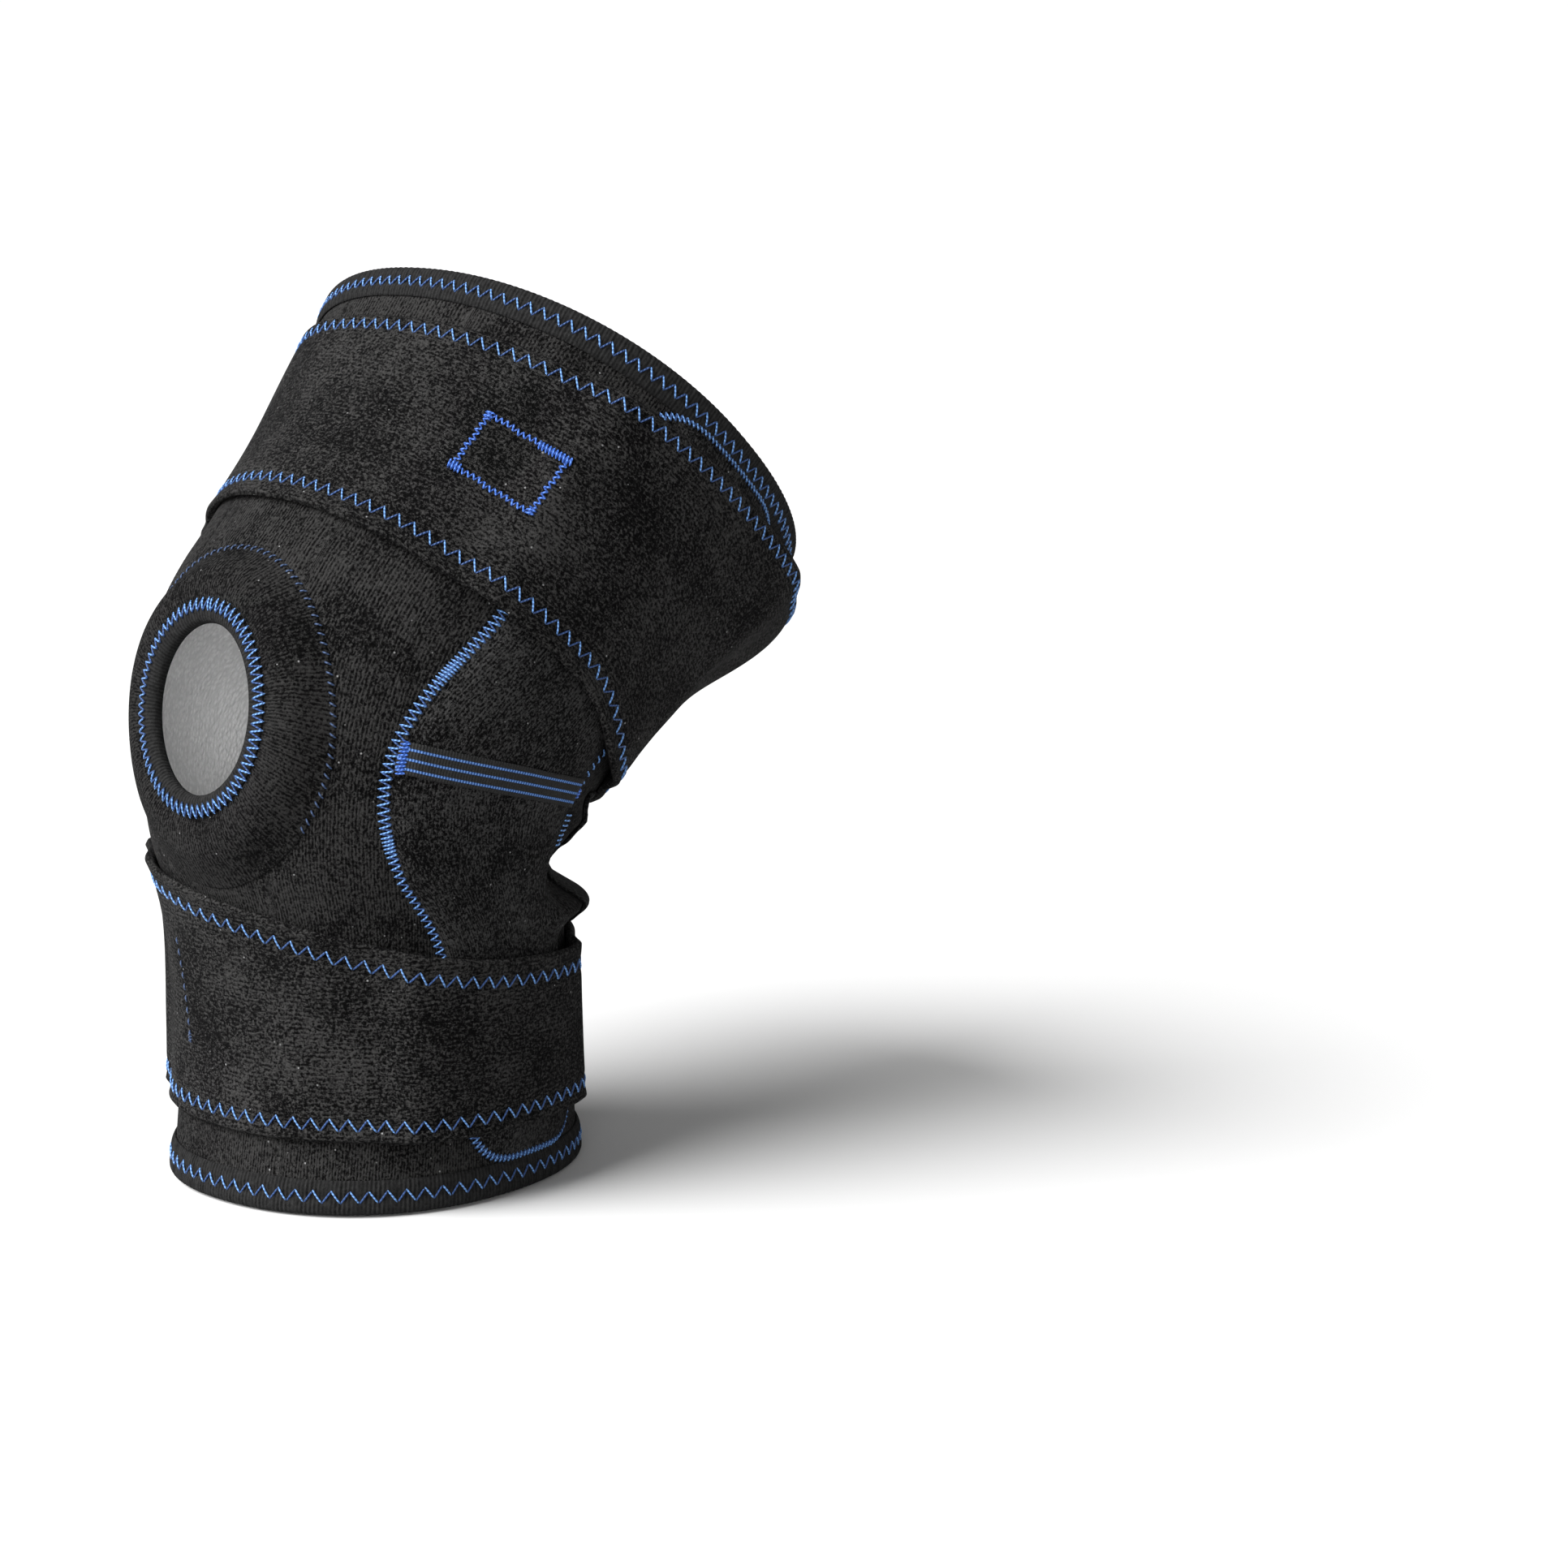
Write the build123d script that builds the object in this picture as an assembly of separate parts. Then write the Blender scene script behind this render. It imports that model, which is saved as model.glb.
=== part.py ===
from build123d import *
import os
from math import cos, sin, degrees, radians, copysign

os.makedirs("parts", exist_ok=True)

# An open-patella knee brace, held in its own relaxed bend.  Millimetres and degrees.
# The origin is the middle of the calf opening at the lower rim, +Z runs up the calf,
# -Y is the front of the knee, +X is the outer side of the leg.

# ---- driving dimensions: the limb form that the sleeve is cut for ----
KNEE_BEND = 41.0
CALF_RUN = 97.0
BEND_RADIUS = 69.0
THIGH_RUN = 99.5
SQUARENESS = 2.15
KNEE_RUN = BEND_RADIUS * radians(KNEE_BEND)
LENGTH = CALF_RUN + KNEE_RUN + THIGH_RUN
KNEE_MIDDLE = CALF_RUN + KNEE_RUN / 2

# Sections of the sleeve's outer face: run along the axis, half width, front depth, back depth.
LIMB = (
    (0, 56, 56, 66),
    (40, 56.5, 51, 63),
    (80, 58, 53, 58),
    (108, 63, 63, 56),
    (133, 68.5, 73, 57.5),
    (158, 69, 73, 63),
    (190, 71, 71, 73),
    (218, 75, 72, 80.5),
    (LENGTH, 78, 73.5, 83.5),
)

# ---- cloth ----
SECTION_PITCH = 5.5
RING_POINTS = 36
SLEEVE_THICK = 4.0
GAP = 0.3
CALF_SEAM = 76.0
THIGH_SEAM = 161.0
HEM_HEIGHT = 10.0
HEM_THICK = 1.1
HEM_FOLD = 1.4

# ---- patella opening and its pad ----
HOLE_HALF_WIDTH = 20.0
HOLE_HALF_HEIGHT = 24.0
HOLE_BINDING_THICK = 1.2
HOLE_BINDING_LIP = 5.0
PAD_HALF_WIDTH = 43.0
PAD_HALF_HEIGHT = 48.0
GEL_THICK = 2.0
COVER_THICK = 1.2

# ---- side panels, spring stays and keeper bands ----
PANEL_ENDS = (11.0, 235.0)
PANEL_FRONT = ((11, 82), (75, 70), (114, 53), (150, 64), (235, 68))
PANEL_BACK = ((11, 122), (60, 118), (122, 110), (180, 114), (235, 116))
PANEL_THICK = 1.2
PANEL_SEAM_ANGLE = 7.0
STAY_SHARES = (0.28, 0.72)
STAY_ENDS = (20.0, 228.0)
STAY_HALF_WIDTH = 3.0
STAY_THICK = 1.2
TIP_LENGTH = 5.5
TIP_LIP = 0.5
KEEPER_ANGLES = (56.0, 107.0)
KEEPER_RUN = 120.7
KEEPER_RISE = 5.5
KEEPER_HALF_HEIGHT = 3.0
KEEPER_THICK = 1.0

# ---- popliteal panel behind the knee ----
POPLITEAL_ANGLES = (128.0, 232.0)
POPLITEAL_MARGIN = 4.0
POPLITEAL_THICK = 1.3

# ---- wrap straps and the tabs that close them ----
STRAP_THICK = 2.5
STRAP_START = -74.0
STRAP_TURN = 344.0
STRAP_FLARE = 8.0
CALF_STRAP_LOW = 21.5
THIGH_STRAP_TOP = 227.5
TAB_START = -75.3
TAB_END = -130.0
TAB_RAMP = (76.0, 88.0)
TAB_THICK = 2.2
CALF_TAB_ENDS = (28.0, 64.0)
THIGH_TAB_ENDS = (184.0, 222.0)
HOOK_ANGLES = (-96.0, -126.0)
HOOK_MARGIN = 3.5
HOOK_THICK = 0.8

# ---- how far each layer stands off the sleeve ----
STAY_OFF = GAP
PANEL_OFF = STAY_OFF + STAY_THICK + 0.7
KEEPER_OFF = PANEL_OFF + PANEL_THICK + GAP
STRAP_LIFT = PANEL_OFF + PANEL_THICK + 0.8
HOOK_CLIMB = STRAP_THICK + 2 * GAP
TAB_CLIMB = HOOK_CLIMB + HOOK_THICK + 0.1
GEL_OFF = GAP
COVER_OFF = GEL_OFF + GEL_THICK + GAP


def curve(x, points, column=1):
    """Smooth curve through (x, value) points, flat-ended like a drawn French curve."""
    last = len(points) - 2
    i = min(max(sum(1 for p in points[1:] if p[0] < x), 0), last)

    def slope(k):
        a, b = points[max(k - 1, 0)], points[min(k + 1, len(points) - 1)]
        return (b[column] - a[column]) / (b[0] - a[0])

    a, b = points[i], points[i + 1]
    h = b[0] - a[0]
    t = (x - a[0]) / h
    rise = (3 - 2 * t) * t * t
    lead = t * (1 - t) ** 2 * h * slope(i)
    tail = t * t * (t - 1) * h * slope(i + 1)
    return a[column] * (1 - rise) + b[column] * rise + lead + tail


def step(x):
    """0 below 0, 1 above 1, smooth between."""
    x = min(max(x, 0.0), 1.0)
    return x * x * (3 - 2 * x)


def axis_at(run):
    """Height, setback and lean of the limb axis at a run along it."""
    lean = min(max((run - CALF_RUN) / BEND_RADIUS, 0.0), radians(KNEE_BEND))
    below = min(run, CALF_RUN)
    above = max(run - CALF_RUN - KNEE_RUN, 0.0)
    setback = BEND_RADIUS * (1 - cos(lean)) + above * sin(lean)
    height = below + BEND_RADIUS * sin(lean) + above * cos(lean)
    return setback, height, lean


def skin(run, angle, off=0.0):
    """Point `off` outside the sleeve.  Angle 0 is the front, 90 the outer side, 180 the back."""
    setback, height, lean = axis_at(run)
    a = radians(angle)
    power = 2 / SQUARENESS
    across = (curve(run, LIMB, 1) + off) * copysign(abs(sin(a)) ** power, sin(a))
    depth = curve(run, LIMB, 2 if cos(a) > 0 else 3) + off
    back = -depth * copysign(abs(cos(a)) ** power, cos(a))
    return Vector(across, setback + back * cos(lean), height - back * sin(lean))


def ring(run, off):
    points = [skin(run, 360 * k / RING_POINTS, off) for k in range(RING_POINTS)]
    return Wire(Edge.make_spline(points, periodic=True))


def plug(low, high, off):
    """Filled stretch of the limb form, lofted through evenly spaced sections."""
    spans = max(1, round((high - low) / SECTION_PITCH))
    return Solid.make_loft([ring(low + (high - low) * k / spans, off) for k in range(spans + 1)])


def tube(low, high, inner, outer):
    return plug(low, high, outer) - plug(low, high, inner)


def slab(place, inner, outer, columns, rows):
    """Closed piece of cloth.  place(u, v) gives run and angle; inner and outer give its faces' standoff."""

    def face(off):
        grid = []
        for i in range(rows):
            line = []
            for j in range(columns):
                run, angle = place(j / (columns - 1), i / (rows - 1))
                line.append(skin(run, angle, off(run, angle)))
            grid.append(line)
        return Face.make_surface_from_array_of_points(grid)

    near, far = face(inner), face(outer)
    sides = []
    for edge in far.edges():
        mate = min(near.edges(), key=lambda other: (other @ 0.5 - edge @ 0.5).length)
        sides.append(Face.make_surface_from_curves(edge, mate))
    solid = Solid(Shell([near, far] + sides))
    return solid if solid.volume > 0 else -solid


def level(off):
    return lambda run, angle: off


def strip(low, high, start, end, inner, outer, columns=9, rows=5):
    """Slab between two edges, each a number or a function of angle, from angle start to end."""

    def place(u, v):
        angle = start + (end - start) * u
        a = low(angle) if callable(low) else low
        b = high(angle) if callable(high) else high
        return a + (b - a) * v, angle

    return slab(place, inner, outer, columns, rows)


def over_panels(angle):
    """1 where a strap rides over a side panel, 0 at the front and back."""
    turn = abs((angle + 180) % 360 - 180)
    return step((turn - 48) / 14) * (1 - step((turn - 119) / 14))


# ---- patella opening ----
def bore(half_width, half_height):
    """Elliptical column from the knee's middle out through its front."""
    setback, height, lean = axis_at(KNEE_MIDDLE)
    upward = (0, sin(lean), cos(lean))
    outward = Vector(0, -cos(lean), sin(lean))
    plane = Plane(origin=(0, setback, height), x_dir=upward, z_dir=outward)
    face = Face(Wire(Edge.make_ellipse(half_height, half_width, plane)))
    return Solid.extrude(face, outward * 130)


def pad_sheet(inner, outer):
    low = KNEE_MIDDLE - 33
    high = KNEE_MIDDLE + 33
    return strip(low, high, -58, 58, level(inner), level(outer), columns=17, rows=11)


def patella_gel_ring():
    ring_solid = pad_sheet(GEL_OFF, GEL_OFF + GEL_THICK) & bore(PAD_HALF_WIDTH - 3, PAD_HALF_HEIGHT - 3)
    return ring_solid - bore(HOLE_HALF_WIDTH + 2, HOLE_HALF_HEIGHT + 2)


def patella_cover():
    cover = pad_sheet(COVER_OFF, COVER_OFF + COVER_THICK) & bore(PAD_HALF_WIDTH, PAD_HALF_HEIGHT)
    return cover - bore(HOLE_HALF_WIDTH + 2, HOLE_HALF_HEIGHT + 2)


def patella_binding():
    outside = COVER_OFF + COVER_THICK + GAP + HOLE_BINDING_THICK
    inside = -SLEEVE_THICK - GAP - HOLE_BINDING_THICK
    block = pad_sheet(inside, outside) & bore(
        HOLE_HALF_WIDTH + HOLE_BINDING_LIP, HOLE_HALF_HEIGHT + HOLE_BINDING_LIP
    )
    filled = pad_sheet(inside + HOLE_BINDING_THICK, outside - HOLE_BINDING_THICK)
    core = bore(HOLE_HALF_WIDTH + HOLE_BINDING_THICK, HOLE_HALF_HEIGHT + HOLE_BINDING_THICK)
    return (block - (filled - core)) - bore(HOLE_HALF_WIDTH, HOLE_HALF_HEIGHT)


# ---- sleeve ----
def knee_sleeve():
    body = tube(CALF_SEAM + GAP, THIGH_SEAM - GAP, -SLEEVE_THICK, 0)
    return body - bore(HOLE_HALF_WIDTH + 2, HOLE_HALF_HEIGHT + 2)


def hem(low, high, fold_low, fold_high):
    """Folded edge binding: a U that wraps the sleeve's rim."""
    body = tube(low, high, -SLEEVE_THICK - GAP - HEM_THICK, GAP + HEM_THICK)
    return body - tube(fold_low, fold_high, -SLEEVE_THICK - GAP, GAP)


# ---- side panels ----
def panel_place(side):
    def place(u, v):
        run = PANEL_ENDS[0] + (PANEL_ENDS[1] - PANEL_ENDS[0]) * v
        front = curve(run, PANEL_FRONT)
        back = curve(run, PANEL_BACK)
        return run, side * (front + (back - front) * u)

    return place


def panel_lift(run, angle):
    """The panel is sewn down along both edges and lifts over the stays between them."""
    front = curve(run, PANEL_FRONT)
    back = curve(run, PANEL_BACK)
    margin = min(abs(angle) - front, back - abs(angle))
    return GAP + (PANEL_OFF - GAP) * step(margin / PANEL_SEAM_ANGLE)


def side_panel(side):
    return slab(
        panel_place(side),
        panel_lift,
        lambda run, angle: panel_lift(run, angle) + PANEL_THICK,
        columns=25,
        rows=25,
    )


def stay(side, share, low, high, half_width, rows):
    """Flat spring that keeps its share of the panel's width between the panel's edges."""

    def place(u, v):
        run = low + (high - low) * v
        front = curve(run, PANEL_FRONT)
        angle = front + (curve(run, PANEL_BACK) - front) * share
        half_angle = degrees(half_width / curve(run, LIMB))
        return run, side * (angle + half_angle * (2 * u - 1))

    return slab(place, level(STAY_OFF), level(STAY_OFF + STAY_THICK), columns=3, rows=rows)


def spring(side, share):
    return stay(side, share, STAY_ENDS[0], STAY_ENDS[1], STAY_HALF_WIDTH, 27)


def stay_tips(low, high):
    tips = []
    for side in (1, -1):
        for share in STAY_SHARES:
            tips.append(stay(side, share, low, high, STAY_HALF_WIDTH + TIP_LIP, 3))
    return Compound(children=tips)


def keeper_band(side):
    def middle(angle):
        u = (abs(angle) - KEEPER_ANGLES[0]) / (KEEPER_ANGLES[1] - KEEPER_ANGLES[0])
        return KEEPER_RUN + KEEPER_RISE * u * u

    def low(angle):
        return middle(angle) - KEEPER_HALF_HEIGHT

    def high(angle):
        return middle(angle) + KEEPER_HALF_HEIGHT

    start, end = (side * angle for angle in KEEPER_ANGLES)
    inner, outer = level(KEEPER_OFF), level(KEEPER_OFF + KEEPER_THICK)
    return strip(low, high, start, end, inner, outer, columns=17, rows=3)


# ---- straps ----
def calf_strap_top(angle):
    return 83 + 13 * cos(radians(angle + 57))


def thigh_strap_low(angle):
    return 157.5 + 5.5 * cos(radians(angle + 30))


def thigh_strap_top(angle):
    return THIGH_STRAP_TOP + 3 * (1 - cos(radians(angle)))


def popliteal_panel():
    """Thin crease panel behind the knee, between the two straps."""

    def low(angle):
        return calf_strap_top(angle) + POPLITEAL_MARGIN

    def high(angle):
        return thigh_strap_low(angle) - POPLITEAL_MARGIN

    inner, outer = level(GAP), level(GAP + POPLITEAL_THICK)
    return strip(low, high, *POPLITEAL_ANGLES, inner, outer, columns=15, rows=13)


def calf_strap_inner(run, angle):
    return GAP + STRAP_LIFT * over_panels(angle)


def thigh_strap_inner(run, angle):
    """The thigh strap also stands away from the leg along its upper edge at the back."""
    backness = step((angle - 95) / 50) * (1 - step((angle - 180) / 45))
    return GAP + STRAP_LIFT * over_panels(angle) + STRAP_FLARE * backness * step((run - 185) / 40)


def strap(low, high, inner):
    def outer(run, angle):
        return inner(run, angle) + STRAP_THICK

    return strip(low, high, STRAP_START, STRAP_START + STRAP_TURN, inner, outer, columns=87, rows=13)


def tab_inner(run, angle):
    """The tab leaves the strap at its own level, then climbs over the strap's other end."""
    rise = step((abs(angle) - TAB_RAMP[0]) / (TAB_RAMP[1] - TAB_RAMP[0]))
    return GAP + STRAP_LIFT * over_panels(angle) + TAB_CLIMB * rise


def tab_outer(run, angle):
    return tab_inner(run, angle) + TAB_THICK


def strap_tab(ends):
    return strip(*ends, TAB_START, TAB_END, tab_inner, tab_outer, columns=23, rows=3)


def hook_pad(ends):
    low, high = ends[0] + HOOK_MARGIN, ends[1] - HOOK_MARGIN

    def inner(run, angle):
        return GAP + STRAP_LIFT * over_panels(angle) + HOOK_CLIMB

    def outer(run, angle):
        return inner(run, angle) + HOOK_THICK

    return strip(low, high, *HOOK_ANGLES, inner, outer, columns=17, rows=3)


nodes = {
    "calf_sleeve": tube(HEM_FOLD + GAP, CALF_SEAM, -SLEEVE_THICK, 0),
    "knee_sleeve": knee_sleeve(),
    "thigh_sleeve": tube(THIGH_SEAM, LENGTH - HEM_FOLD - GAP, -SLEEVE_THICK, 0),
    "calf_rim_binding": hem(0, HEM_HEIGHT, HEM_FOLD, HEM_HEIGHT + 1),
    "thigh_rim_binding": hem(LENGTH - HEM_HEIGHT, LENGTH, LENGTH - HEM_HEIGHT - 1, LENGTH - HEM_FOLD),
    "patella_gel_ring": patella_gel_ring(),
    "patella_cover": patella_cover(),
    "patella_binding": patella_binding(),
    "side_panel_lateral": side_panel(1),
    "side_panel_medial": side_panel(-1),
    "stay_lateral_front": spring(1, STAY_SHARES[0]),
    "stay_lateral_back": spring(1, STAY_SHARES[1]),
    "stay_medial_front": spring(-1, STAY_SHARES[0]),
    "stay_medial_back": spring(-1, STAY_SHARES[1]),
    "stay_tips_calf": stay_tips(STAY_ENDS[0] - GAP - TIP_LENGTH, STAY_ENDS[0] - GAP),
    "stay_tips_thigh": stay_tips(STAY_ENDS[1] + GAP, STAY_ENDS[1] + GAP + TIP_LENGTH),
    "keeper_band_lateral": keeper_band(1),
    "keeper_band_medial": keeper_band(-1),
    "popliteal_panel": popliteal_panel(),
    "calf_strap": strap(CALF_STRAP_LOW, calf_strap_top, calf_strap_inner),
    "calf_strap_tab": strap_tab(CALF_TAB_ENDS),
    "calf_hook_pad": hook_pad(CALF_TAB_ENDS),
    "thigh_strap": strap(thigh_strap_low, thigh_strap_top, thigh_strap_inner),
    "thigh_strap_tab": strap_tab(THIGH_TAB_ENDS),
    "thigh_hook_pad": hook_pad(THIGH_TAB_ENDS),
}

for name, solid in nodes.items():
    solid.label = name
    export_step(solid, f"parts/{name}.step")
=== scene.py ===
import bpy
import numpy as np
from math import cos, pi, radians, sin
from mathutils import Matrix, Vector

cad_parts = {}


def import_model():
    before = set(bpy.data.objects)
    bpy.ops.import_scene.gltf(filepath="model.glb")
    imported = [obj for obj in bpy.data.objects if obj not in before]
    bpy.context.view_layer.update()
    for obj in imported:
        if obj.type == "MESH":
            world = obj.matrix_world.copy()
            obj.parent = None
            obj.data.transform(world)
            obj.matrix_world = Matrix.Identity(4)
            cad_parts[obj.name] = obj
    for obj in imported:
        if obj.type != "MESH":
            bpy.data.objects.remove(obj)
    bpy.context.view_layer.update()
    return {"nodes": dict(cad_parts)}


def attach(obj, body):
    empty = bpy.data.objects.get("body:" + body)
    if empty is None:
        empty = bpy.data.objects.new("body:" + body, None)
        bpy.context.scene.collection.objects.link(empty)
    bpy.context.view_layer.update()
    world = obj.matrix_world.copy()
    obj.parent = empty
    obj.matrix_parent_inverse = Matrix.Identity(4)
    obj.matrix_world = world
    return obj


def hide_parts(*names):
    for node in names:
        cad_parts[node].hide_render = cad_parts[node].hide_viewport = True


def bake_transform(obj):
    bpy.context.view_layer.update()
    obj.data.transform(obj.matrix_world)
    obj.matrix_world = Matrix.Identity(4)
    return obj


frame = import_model()

# Shapes are worked out in millimetres and degrees, as on the pattern, and turned into metres
# when a mesh is made.  Run goes up the limb's axis; angle 0 is the front, 90 the outer side.
MM = 0.001

# ---- limb form, as the frame was cut ----
KNEE_BEND = 41.0
CALF_RUN = 97.0
BEND_RADIUS = 69.0
SQUARENESS = 2.15
KNEE_RUN = BEND_RADIUS * radians(KNEE_BEND)
LENGTH = CALF_RUN + KNEE_RUN + 99.5
KNEE_MIDDLE = CALF_RUN + KNEE_RUN / 2
LIMB = (
    (0, 56, 56, 66),
    (40, 56.5, 51, 63),
    (80, 58, 53, 58),
    (108, 63, 63, 56),
    (133, 68.5, 73, 57.5),
    (158, 69, 73, 63),
    (190, 71, 71, 73),
    (218, 75, 72, 80.5),
    (LENGTH, 78, 73.5, 83.5),
)

# ---- layers ----
GAP = 0.3
SLEEVE_THICK = 4.0
LINING_THICK = 1.8
HEM_FOLD = 1.4
HOLE = np.array((20.0, 24.0))
HOLE_CUT = 2.0
PAD = np.array((43.0, 48.0))
CREASE_ANGLES = (128.0, 232.0)
CREASE_MARGIN = 4.0
CREASE_THICK = 1.3
PANEL_ENDS = (11.0, 235.0)
PANEL_FRONT = ((11, 82), (75, 70), (114, 53), (150, 64), (235, 68))
PANEL_BACK = ((11, 122), (60, 118), (122, 110), (180, 114), (235, 116))
PANEL_THICK = 1.2
PANEL_OFF = 2.2
STAY_SHARES = (0.28, 0.72)
STAY_ENDS = (20.0, 228.0)
KEEPER_ANGLES = (56.0, 107.0)
KEEPER_OFF = PANEL_OFF + PANEL_THICK + GAP
STRAP_THICK = 2.5
STRAP_LIFT = PANEL_OFF + PANEL_THICK + 0.8
STRAP_START = -74.0
STRAP_TURN = 344.0
STRAP_RIDE = (48.0, 62.0, 119.0, 133.0)
STRAP_FLARE = 8.0
FLARE_ANGLES = (95.0, 145.0, 180.0, 225.0)
FLARE_RUNS = (185.0, 225.0)
CALF_STRAP_LOW = 21.5
CALF_STRAP_TOP = 83.0
CALF_TOP_SWING = 13.0
CALF_TOP_TURN = 57.0
THIGH_STRAP_LOW = 158.0
THIGH_LOW_SWING = 5.5
THIGH_LOW_TURN = 60.0
THIGH_LOW_DIP = 11.5
DIP_ANGLES = (84.0, 118.0, 130.0, 190.0)
THIGH_STRAP_TOP = 227.5
THIGH_TOP_RISE = 3.0
HOOK_CLIMB = STRAP_THICK + 2 * GAP
HOOK_THICK = 0.8
TAB_CLIMB = HOOK_CLIMB + HOOK_THICK + 0.1
TAB_THICK = 2.2
TAB_ANGLES = (-75.3, -130.0)
TAB_RAMP = (76.0, 88.0)
TAB_BEND = (-75.0, -86.0)
HOOK_ANGLES = (-96.0, -126.0)
HOOK_MARGIN = 3.5
HOOK_BACKING = 0.35
TABS = {"calf": (28.0, 64.0), "thigh": (184.0, 222.0)}

# Folds behind the bent knee: height, the run that each lies at, and its half width.
FOLDS = ((6.2, 79.5, 4.2), (-5.9, 91.5, 6.5), (2.3, 115, 8), (-0.8, 133, 7))
FOLD_ANGLES = (100.0, 122.0)

# ---- seams and stitches ----
RIM_SEAM = 5.6
RIM_PITCHES = {"calf": 5.4, "thigh": 4.4}
EDGE_STITCH_WIDTH = 3.6
STRAP_STITCH_WIDTH = 3.7
THREAD_RADIUS = 0.28
KEEPER_HALF_HEIGHT = 4.4
WEBBING_STRIPES = (0.0016, 0.0044, 0.0072)
STAY_COIL_PITCH = 1.7
STAY_COIL_HALF_WIDTH = 2.6
HOOK_SPACING = (1.15, 1.5)


# ---- the limb form ----
def step(x):
    """0 below 0, 1 above 1, smooth between."""
    x = np.clip(x, 0, 1)
    return x * x * (3 - 2 * x)


def ramp(x, start, end):
    """0 before start, 1 past end, smooth between."""
    return step((x - start) / (end - start))


def hill(x, middle, width):
    return np.exp(-(((x - middle) / width) ** 2))


def curve(x, points, column=1):
    """Smooth curve through (x, value) points, as in the frame's own pattern."""
    table = np.array(points, float)
    xs, ys = table[:, 0], table[:, column]
    ends = np.r_[0, np.arange(len(xs)), len(xs) - 1]
    slope = (ys[ends[2:]] - ys[ends[:-2]]) / (xs[ends[2:]] - xs[ends[:-2]])
    i = np.clip(np.searchsorted(xs[1:], x), 0, len(xs) - 2)
    h = xs[i + 1] - xs[i]
    t = (x - xs[i]) / h
    rise = (3 - 2 * t) * t * t
    bent = t * (1 - t) ** 2 * h * slope[i] + t * t * (t - 1) * h * slope[i + 1]
    return ys[i] * (1 - rise) + ys[i + 1] * rise + bent


def axis_at(run):
    lean = np.clip((run - CALF_RUN) / BEND_RADIUS, 0, radians(KNEE_BEND))
    above = np.maximum(run - CALF_RUN - KNEE_RUN, 0)
    setback = BEND_RADIUS * (1 - np.cos(lean)) + above * np.sin(lean)
    height = np.minimum(run, CALF_RUN) + BEND_RADIUS * np.sin(lean) + above * np.cos(lean)
    return setback, height, lean


def signed_power(x):
    return np.sign(x) * np.abs(x) ** (2 / SQUARENESS)


def skin(run, angle, off=0.0):
    """Points `off` outside the sleeve, in millimetres."""
    run, angle, off = np.broadcast_arrays(*(np.asarray(v, float) for v in (run, angle, off)))
    setback, height, lean = axis_at(run)
    a = np.radians(angle)
    depth = np.where(np.cos(a) > 0, curve(run, LIMB, 2), curve(run, LIMB, 3)) + off
    across = (curve(run, LIMB, 1) + off) * signed_power(np.sin(a))
    back = -depth * signed_power(np.cos(a))
    return np.stack((across, setback + back * np.cos(lean), height - back * np.sin(lean)), -1)


def lay(run, angle, top):
    """Points on a cloth's outer face, where top gives its standoff, and the face's normals."""
    d = 0.4
    p = skin(run, angle, top(run, angle))
    up = skin(run + d, angle, top(run + d, angle)) - p
    round_ = skin(run, angle + d, top(run, angle + d)) - p
    n = np.cross(round_, up)
    return p, n / np.linalg.norm(n, axis=-1, keepdims=True)


def front_view(run, angle):
    """How far across and how far up from the knee's middle a point of the skin lies, seen square on."""
    setback, height, lean = axis_at(KNEE_MIDDLE)
    p = skin(run, angle)
    up = (p[..., 1] - setback) * np.sin(lean) + (p[..., 2] - height) * np.cos(lean)
    return p[..., 0], up


def front_point(across, up):
    """The run and angle whose front view is across and up."""
    run = KNEE_MIDDLE + np.asarray(up, float) * 0.5
    angle = np.degrees(np.arcsin(np.clip(np.asarray(across, float) / 70, -0.95, 0.95)))
    for _ in range(30):
        x, h = front_view(run, angle)
        run = run + (up - h) * 0.45
        angle = angle + np.degrees((across - x) / 75)
    return run, angle


# ---- standoffs of the visible layers ----
def turn_of(angle):
    return np.abs((angle + 180) % 360 - 180)


def crease(run, angle):
    """Soft folds behind the bent knee, in the sleeve and the cloth on it above the calf strap."""
    back = ramp(turn_of(angle), *FOLD_ANGLES)
    free = step((run - calf_strap_top(angle) + 0.5) / 5)
    return back * free * sum(height * hill(run, middle, width) for height, middle, width in FOLDS)


def over_panels(angle):
    """1 where a strap rides over a side panel, 0 at the front and back."""
    turn = turn_of(angle)
    return ramp(turn, *STRAP_RIDE[:2]) * (1 - ramp(turn, *STRAP_RIDE[2:]))


def calf_strap_top(angle):
    return CALF_STRAP_TOP + CALF_TOP_SWING * np.cos(np.radians(angle + CALF_TOP_TURN))


def calf_strap_low(angle):
    return CALF_STRAP_LOW + 0 * angle


def thigh_strap_low(angle):
    """The lower edge slopes down round the outer side and dips behind it."""
    slope = THIGH_LOW_SWING * np.cos(np.radians(angle + THIGH_LOW_TURN))
    dip = ramp(angle, *DIP_ANGLES[:2]) * (1 - ramp(angle, *DIP_ANGLES[2:]))
    return THIGH_STRAP_LOW + slope - THIGH_LOW_DIP * dip


def thigh_strap_top(angle):
    return THIGH_STRAP_TOP + THIGH_TOP_RISE * (1 - np.cos(np.radians(angle)))


def calf_strap_inner(run, angle):
    return GAP + STRAP_LIFT * over_panels(angle)


def thigh_strap_inner(run, angle):
    """The thigh strap also stands away from the leg along its upper edge at the back."""
    backness = ramp(angle, *FLARE_ANGLES[:2]) * (1 - ramp(angle, *FLARE_ANGLES[2:]))
    return GAP + STRAP_LIFT * over_panels(angle) + STRAP_FLARE * backness * ramp(run, *FLARE_RUNS)


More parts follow.
